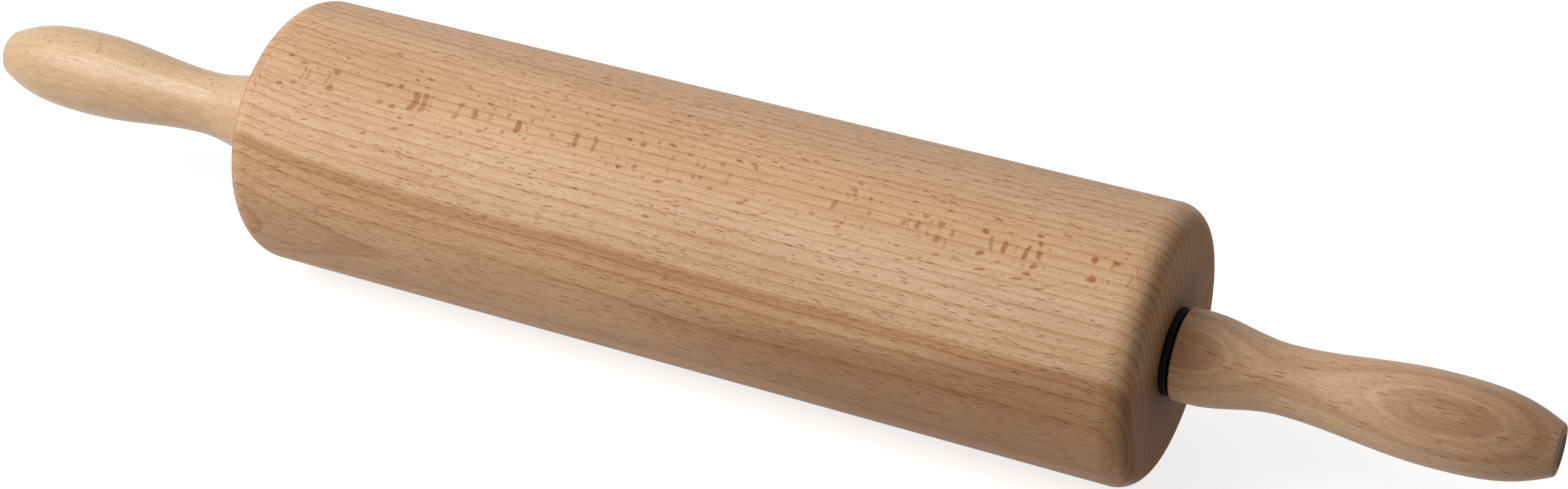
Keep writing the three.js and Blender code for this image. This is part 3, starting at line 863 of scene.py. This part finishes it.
def scratch_mask(tree, on_axle, reach, start, end_grain_and_edge_shade):
    """Fine scratches round the axle, from the start outwards, on the rounded edge but not on the end face."""
    size = {"Line Width": SCRATCH_WIDTH * MM, "Line Length": SCRATCH_LENGTH * MM}
    lines = use(tree, turning, {"Place": on_axle, **size})["Lines"]
    side_grain = calc(tree, "SUBTRACT", 1.0, end_grain_and_edge_shade)
    zone = product(tree, ramp(tree, reach, start * MM, (start + MARKS_GROW) * MM), side_grain)
    return product(tree, ramp(tree, lines, *SCRATCH_WINDOW), zone)


# The darkening towards the handle's end is painted shade, as that end turns away from the lamp.
print("hands darken the handle over", TIP_SHADE_FROM_TO[1] - TIP_SHADE_FROM_TO[0], "mm")

# %% The beech material
FLECK_BAND = (0.993, 0.9993)  # grazing values at which rays open into flecks
MORE_FLECKS = 1.9
RAYS_FROM_TO = (0.3, 0.96)  # grazing values between which rays become smaller and more frequent
ACROSS_SHARE, ACROSS_SIZE = 0.6, 1.8
# The end-grain tint begins while the surface still faces half sideways, so on the rounded ends it is partly
# painted shade.
END_GRAIN_AND_EDGE_SHADE = (0.5, 0.98)
PORES_SHOW = (0.5, 0.7)
PORE_RELIEF, RAY_RELIEF, RING_RELIEF, SCRATCH_RELIEF = 0.4, 0.5, 0.3, 0.6
BUMP_STRENGTH, BUMP_DEPTH = 0.35, 0.12
FIBRE_ROUGH, END_ROUGH = 0.16, 0.2


def beech(name, wood, marks_from=None):
    """Sanded beech. The tree's heart lies heart_out millimetres from the axle, and the way out of it points
    at the angle out_turn, in degrees from +Y towards +Z. Scratches start at marks_from, if given."""
    material, tree, on_axle = new_material(name)
    normal = node(tree, "TexCoord").outputs["Normal"]
    along = node(tree, "SeparateXYZ", {0: on_axle}).outputs["X"]
    reach = calc(tree, "ABSOLUTE", along)
    in_wood = place_in_wood(tree, wood, on_axle, along)
    graze = grazing(tree, wood, in_wood, normal)
    in_band = ramp(tree, graze, *FLECK_BAND)
    share = calc(tree, "MULTIPLY_ADD", in_band, wood["ray_share"] * MORE_FLECKS, wood["ray_share"])
    share = product(tree, share, ramp(tree, graze, *RAYS_FROM_TO, ACROSS_SHARE, 1.0))
    seen = use(tree, figure, {
        "Wood Place": in_wood, "Heart Distance": wood["heart_out"] * MM,
        "Ring Spacing": wood["spacing"] * MM, "Sway": wood["sway"] * MM,
        "Ray Share": share, "Ray Size": ramp(tree, graze, *RAYS_FROM_TO, ACROSS_SIZE, 1.0)})
    facing = node(tree, "SeparateXYZ", {0: normal}).outputs["X"]
    end_grain_and_edge_shade = ramp(tree, calc(tree, "ABSOLUTE", facing), *END_GRAIN_AND_EDGE_SHADE)
    look = {title: seen[title] for title in ("Depth", "Rings", "Latewood", "Fine Rays", "Fibre", "Cloud")}
    look["Pores"] = ramp(tree, seen["Pores"], *PORES_SHOW)
    look["Rays"] = product(tree, seen["Rays"], calc(tree, "SUBTRACT", 1.0, end_grain_and_edge_shade))

    stain = heart_stain(tree, on_axle, along, look["Cloud"]) if wood["stained"] else None
    colour = sanded_colour(tree, wood, look, graze, end_grain_and_edge_shade, stain)
    colour = painted_shade_colour(tree, wood, colour, on_axle, reach, end_grain_and_edge_shade)
    relief = product(tree, look["Pores"], PORE_RELIEF)
    relief = calc(tree, "MULTIPLY_ADD", look["Rays"], RAY_RELIEF, relief)
    relief = calc(tree, "MULTIPLY_ADD", look["Rings"], RING_RELIEF, relief)
    if marks_from is not None:
        scratches = scratch_mask(tree, on_axle, reach, marks_from, end_grain_and_edge_shade)
        colour = tint(tree, product(tree, scratches, MARK_SHARE), colour, MARK_SHADE)
        relief = calc(tree, "MULTIPLY_ADD", scratches, SCRATCH_RELIEF, relief)
    height = {"Height": relief, "Strength": BUMP_STRENGTH, "Distance": BUMP_DEPTH * MM}
    bump = node(tree, "Bump", height, invert=True)
    rough = calc(tree, "MULTIPLY_ADD", look["Fibre"], FIBRE_ROUGH, wood["rough"])
    rough = calc(tree, "MULTIPLY_ADD", end_grain_and_edge_shade, END_ROUGH, rough)
    shader = node(tree, "BsdfPrincipled", {
        "Base Color": colour, "Roughness": rough, "Normal": bump.outputs[0],
        "Specular IOR Level": wood["gloss"]})
    node(tree, "OutputMaterial", {"Surface": shader.outputs[0]})
    print(name, len(tree.nodes), "nodes")
    return material


print("flecks open where the surface lies within",
      round(float(np.degrees(np.arccos(FLECK_BAND[0]))), 1), "degrees of the rays")

# %% [markdown]
# ## Three pieces of beech
# The roller is cut so that the tree's heart would lie in front of it and a little below, which puts the
# flecks high on its front and the arched rings low at its left. The left handle is pale, with few marks. The
# right one is browner, cut flat, with an oval of darker rings on its belly. One material for all three would
# be quicker, but no two pieces of wood are alike, so each gets its own values. Lengths are in millimetres,
# and the tones are (distance from the heart, colour).

# %% Beech on the roller and the handles
HEART_STAIN = srgb(193, 147, 107)
PALE_HEART = srgb(216, 174, 134)
MARKS_FROM = 116.0
# Round the roller's hubs, its end faces get painted shade where the handles shade them.
roller_wood = dict(
    out_turn=16.3, heart_out=131.5, spacing=2.35, sway=3.0, bow=5.0, shift=0, stained=True,
    hub_shade=0.8, tip_shade=0.0, ray_share=0.25, late=0.5, rings=0.66, rays=1.0, fine_rays=0.45,
    dash_shade=(0.37, 0.25, 0.18), fleck_shade=(0.60, 0.37, 0.23), rough=0.44, gloss=0.28,
    tones=[(93.5, PALE_HEART), (101.1, PALE_HEART), (103.7, HEART_STAIN), (104.1, srgb(228, 189, 151)),
           (115.5, srgb(230, 191, 155)), (127.5, srgb(227, 186, 145)), (139.5, srgb(229, 188, 151)),
           (169.5, srgb(227, 186, 149))])
left_wood = dict(
    out_turn=10.4, heart_out=60.0, spacing=2.4, sway=1.0, bow=0.0, shift=310, stained=False,
    hub_shade=0.0, tip_shade=0.0, ray_share=0.3, late=0.2, rings=0.25, rays=0.7, fine_rays=0.25,
    dash_shade=(0.70, 0.54, 0.38), fleck_shade=(0.76, 0.52, 0.27), rough=0.26, gloss=0.6,
    tones=[(45.0, srgb(226, 188, 147)), (75.0, srgb(231, 198, 158))])
# On the right handle, the darkening towards its end is painted shade, as that end turns away from the lamp.
right_wood = dict(
    out_turn=137.0, heart_out=200.0, spacing=1.15, sway=0.6, bow=0.0, shift=-120, stained=False,
    hub_shade=0.0, tip_shade=1.0, ray_share=0.09, late=0.3, rings=0.2, rays=1.0, fine_rays=0.4,
    dash_shade=(0.40, 0.28, 0.20), fleck_shade=(0.55, 0.38, 0.26), rough=0.4, gloss=0.42,
    tones=[(190.0, srgb(233, 194, 158)), (206.4, srgb(231, 191, 155)), (208.2, srgb(208, 163, 124)),
           (208.6, srgb(227, 187, 150)), (210.2, srgb(219, 177, 139)), (210.4, srgb(227, 188, 152)),
           (210.7, srgb(204, 159, 121)), (213.0, srgb(195, 149, 112))])
roller_beech = beech("roller_beech", roller_wood, MARKS_FROM)
left_beech = beech("handle_left_beech", left_wood)
right_beech = beech("handle_right_beech", right_wood)
stands_for(roller, "roller", "roller", roller_beech)
stands_for(handles["left"], "handle_left", "handles_and_axle", left_beech)
stands_for(handles["right"], "handle_right", "handles_and_axle", right_beech)

# %% [markdown]
# ## Black nylon
# Moulded nylon is nearly black, with a fine eroded texture from its mould and slightly uneven gloss. A plain
# black would look like a hole, so noise smears the tone and the gloss a little. The surface is matt, so the
# flange beside the roller reads as one dark ring. Its near-black tone is partly painted shade: on the flange
# it also stands for the shadowed gap between roller and handle.

# %% Nylon material
MOULD_GRAIN = (0.11, 0.11, 0.11)
GRAIN_STRENGTH, GRAIN_DEPTH = 0.25, 0.05
SMEAR = (4, 4, 4)
NYLON_ROUGH, SMEAR_ROUGH = 0.5, 0.2
NYLON_GLOSS = 0.1
black_nylon, tree, on_axle = new_material("black_nylon")
grain = noise(tree, on_axle, MOULD_GRAIN, detail=2.0)
smear = noise(tree, on_axle, SMEAR, detail=3.0)
grain_height = {"Height": grain, "Strength": GRAIN_STRENGTH, "Distance": GRAIN_DEPTH * MM}
# The near-black tone is partly painted shade: on the cup's flange it also stands for the shadowed gap between
# roller and handle.
shader = node(tree, "BsdfPrincipled", {
    "Base Color": mix(tree, smear, srgb(4, 4, 4), srgb(10, 9, 9)),
    "Roughness": calc(tree, "MULTIPLY_ADD", smear, SMEAR_ROUGH, NYLON_ROUGH),
    "Normal": node(tree, "Bump", grain_height).outputs[0],
    "Specular IOR Level": NYLON_GLOSS})
node(tree, "OutputMaterial", {"Surface": shader.outputs[0]})
for side in SIDES:
    stands_for(cups[side], f"bearing_cup_{side}", "roller", black_nylon)
    stands_for(plugs[side], f"end_plug_{side}", "handles_and_axle", black_nylon)
print("nylon on", len(cups) + len(plugs), "pieces")

# %% [markdown]
# ## Steel and brass
# The metal inside differs in its finish more than in its colour: the axle is turned and lightly oiled, the
# bearing is ground and has a film of grease, the screws are zinc plated, and the cage is brass. Four graphs
# would repeat each other, so one function makes all four from the turning marks and a film that dulls and
# darkens the surface in patches.

# %% Metal materials
FEED_LENGTH = 14
FEED_SHADE = (0.8, 0.8, 0.8)
FEED_WINDOW, FEED_SHARE = (0.35, 0.7), 0.35
FEED_ROUGH, FEED_HEIGHT = 0.1, 0.04
FILM_SIZES = (3.5, 2.2, 2.2)
FILM_WINDOW, FILM_SHARE = (0.42, 0.68), 0.75


def metal(name, bright, film, rough, film_rough, line_width, line_depth):
    """Turned metal: feed lines in the roughness and the relief, under a patchy film of its own tone."""
    material, tree, on_axle = new_material(name)
    size = {"Line Width": line_width * MM, "Line Length": FEED_LENGTH * MM}
    lines = use(tree, turning, {"Place": on_axle, **size})["Lines"]
    patches = ramp(tree, noise(tree, on_axle, FILM_SIZES, detail=4.0), *FILM_WINDOW)
    colour = mix(tree, product(tree, patches, FILM_SHARE), bright, film)
    colour = tint(tree, ramp(tree, lines, *FEED_WINDOW, 0.0, FEED_SHARE), colour, FEED_SHADE)
    lined = calc(tree, "MULTIPLY_ADD", lines, FEED_ROUGH, rough)
    roughness = calc(tree, "MULTIPLY_ADD", patches, film_rough - rough, lined)
    bump = node(tree, "Bump", {"Height": lines, "Strength": line_depth, "Distance": FEED_HEIGHT * MM})
    shader = node(tree, "BsdfPrincipled", {
        "Base Color": colour, "Metallic": 1.0, "Roughness": roughness, "Normal": bump.outputs[0]})
    node(tree, "OutputMaterial", {"Surface": shader.outputs[0]})
    print(name, len(tree.nodes), "nodes")
    return material


axle_steel = metal("axle_steel", bright=srgb(176, 176, 172), film=srgb(134, 128, 118),
                   rough=0.26, film_rough=0.4, line_width=0.09, line_depth=0.35)
bearing_steel = metal("bearing_steel", bright=srgb(202, 203, 204), film=srgb(164, 152, 124),
                      rough=0.1, film_rough=0.3, line_width=0.05, line_depth=0.1)
zinc_plate = metal("fastener_zinc", bright=srgb(196, 200, 206), film=srgb(168, 170, 166),
                   rough=0.3, film_rough=0.48, line_width=0.16, line_depth=0.2)
cage_brass = metal("cage_brass", bright=srgb(206, 172, 96), film=srgb(156, 118, 62),
                   rough=0.24, film_rough=0.42, line_width=0.1, line_depth=0.3)

# %% Metal on its pieces
stands_for(axle, "axle", "handles_and_axle", axle_steel)
for side in SIDES:
    stands_for(sleeves[side], f"spacer_sleeve_{side}", "handles_and_axle", axle_steel)
    stands_for(inner_races[side], f"inner_race_{side}", "handles_and_axle", bearing_steel)
    stands_for(outer_races[side], f"outer_race_{side}", "roller", bearing_steel)
    stands_for(screws[side], f"handle_screw_{side}", "handles_and_axle", zinc_plate)
    stands_for(washers[side], f"screw_washer_{side}", "handles_and_axle", zinc_plate)
    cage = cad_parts[f"ball_cage_{side}"]
    cage.data.materials.clear()
    cage.data.materials.append(cage_brass)
for (side, number), ball in balls.items():
    stands_for(ball, f"ball_{side}_{number}", f"ball_{side}_{number}", bearing_steel)
print("bearing steel on", len(inner_races) + len(outer_races) + len(balls), "pieces")

# %% [markdown]
# ## Floor, backdrop and light
# The photograph stands on plain white. More light would bleach the wood as well, so instead the floor is a
# large pale sheet with a glow that only the camera and mirrors see. It looks white and keeps the pin's soft
# shadow. The light is one large soft lamp from the upper left, with an even sky.

# %% Floor
FLOOR_REACH = 6.0  # in metres, from the middle
FLOOR_DROP = 0.2
FLOOR_COLOUR = (0.56, 0.55, 0.53, 1)
FLOOR_GLOW = 0.76
WHITE = (1, 1, 1, 1)
corners = np.array([[-1, -1, 0], [1, -1, 0], [1, 1, 0], [-1, 1, 0]]) * FLOOR_REACH
floor_mesh = bpy.data.meshes.new("floor")
floor_mesh.from_pydata((corners - np.array([0, 0, FLOOR_DROP * MM])).tolist(), [], [[0, 1, 2, 3]])
floor = bpy.data.objects.new("floor", floor_mesh)
bpy.context.collection.objects.link(floor)


def seen_directly(tree):
    """One for rays from the camera, and for rays that a mirror or glass sends on; zero for light."""
    ray = node(tree, "LightPath").outputs
    sent_on = calc(tree, "MAXIMUM", ray["Is Glossy Ray"], ray["Is Transmission Ray"])
    return calc(tree, "MAXIMUM", ray["Is Camera Ray"], sent_on)


paper = bpy.data.materials.new("white_paper")
paper.use_nodes = True
tree = paper.node_tree
tree.nodes.clear()
matte = node(tree, "BsdfDiffuse", {"Color": FLOOR_COLOUR})
glow = node(tree, "Emission", {"Color": WHITE, "Strength": product(tree, seen_directly(tree), FLOOR_GLOW)})
both = node(tree, "AddShader", {0: matte.outputs[0], 1: glow.outputs[0]})
node(tree, "OutputMaterial", {"Surface": both.outputs[0]})
floor_mesh.materials.append(paper)
print("floor of", 2 * FLOOR_REACH, "m")

# %% Sky and lamp
SKY_LIGHT = 0.3
world = bpy.data.worlds.new("studio_sky")
world.use_nodes = True
tree = world.node_tree
tree.nodes.clear()
sky_strength = ramp(tree, seen_directly(tree), 0, 1, SKY_LIGHT, 1.0)
sky = node(tree, "Background", {"Color": WHITE, "Strength": sky_strength})
node(tree, "OutputWorld", {"Surface": sky.outputs[0]})
bpy.context.scene.world = world


def soft_lamp(name, power, size, position, target):
    """A square lamp of this size at the position, turned to the target, all in metres."""
    lamp = bpy.data.lights.new(name, "AREA")
    lamp.energy = power
    lamp.size = size
    holder = bpy.data.objects.new(name, lamp)
    bpy.context.collection.objects.link(holder)
    holder.location = position
    holder.rotation_euler = (Vector(target) - Vector(position)).to_track_quat("-Z", "Y").to_euler()


soft_lamp("key_lamp", power=10.6, size=0.8, position=(-0.65, -0.55, 0.82), target=(-0.05, 0, 0.03))
bpy.context.scene.view_settings.view_transform = "Standard"
print("sky and lamp set")
